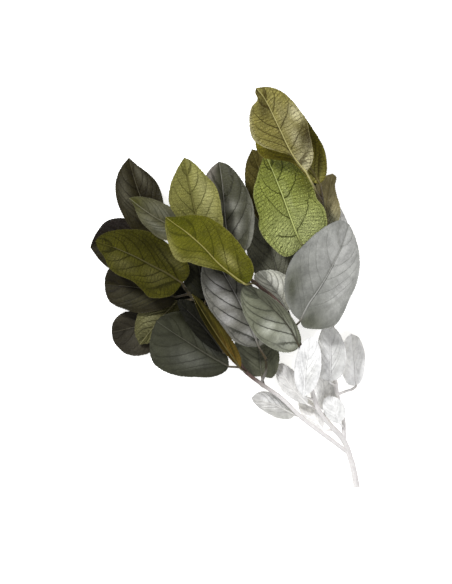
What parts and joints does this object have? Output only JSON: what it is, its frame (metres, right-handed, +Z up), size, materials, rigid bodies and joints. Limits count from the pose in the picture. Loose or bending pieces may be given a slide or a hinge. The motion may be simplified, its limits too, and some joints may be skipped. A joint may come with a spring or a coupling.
{
  "type": "preserved salal stem",
  "caption": "Cut branched stem of preserved salal lying down, a flat spray of leathery oval leaves from olive to silver.",
  "frame": {"origin": "middle of the foot of the box, on the surface that the stem lies on", "axes": "+Y from the cut end towards the leaf tips, +Z up from the surface, +X to the right seen from above"},
  "size_m": [0.2768, 0.4016, 0.077],
  "materials": {
    "leaf_khaki": "semi-gloss leathery leaf, khaki",
    "leaf_bright_green": "semi-gloss leathery leaf, fresh green",
    "leaf_olive": "semi-gloss leathery leaf, olive green",
    "leaf_dark_olive": "satin leathery leaf, dark olive",
    "leaf_black_green": "satin leathery leaf, black green",
    "leaf_deep_green": "satin leathery leaf, deep grey green",
    "leaf_grey_green": "satin leathery leaf, grey green",
    "leaf_silver": "matt leathery leaf, silver green",
    "leaf_bleached": "matt leathery leaf, bleached pale grey",
    "bark": "thin matt bark, pinkish grey brown"
  },
  "bodies": {
    "root": {"woody_stem": "bark", "right_leaf_01": "leaf_khaki", "right_leaf_02": "leaf_dark_olive", "right_leaf_03": "leaf_dark_olive", "right_leaf_04": "leaf_bright_green", "right_leaf_05": "leaf_dark_olive", "right_leaf_06": "leaf_silver", "right_leaf_07": "leaf_silver", "right_leaf_08": "leaf_bleached", "right_leaf_09": "leaf_bleached", "right_leaf_10": "leaf_black_green", "right_leaf_11": "leaf_black_green", "middle_leaf_01": "leaf_olive", "middle_leaf_02": "leaf_grey_green", "middle_leaf_03": "leaf_olive", "middle_leaf_04": "leaf_grey_green", "middle_leaf_05": "leaf_grey_green", "middle_leaf_06": "leaf_silver", "middle_leaf_07": "leaf_grey_green", "middle_leaf_08": "leaf_deep_green", "middle_leaf_09": "leaf_black_green", "left_leaf_01": "leaf_black_green", "left_leaf_02": "leaf_black_green", "left_leaf_03": "leaf_dark_olive", "left_leaf_04": "leaf_black_green", "left_leaf_05": "leaf_black_green", "left_leaf_06": "leaf_olive", "left_leaf_07": "leaf_deep_green", "left_leaf_08": "leaf_black_green", "left_leaf_09": "leaf_olive", "left_leaf_10": "leaf_black_green", "left_leaf_11": "leaf_deep_green", "left_leaf_12": "leaf_black_green", "low_leaf_01": "leaf_bleached", "low_leaf_02": "leaf_bleached", "low_leaf_03": "leaf_bleached", "low_leaf_04": "leaf_bleached", "low_leaf_05": "leaf_bleached", "low_leaf_06": "leaf_bleached"}
  },
  "joints": []
}
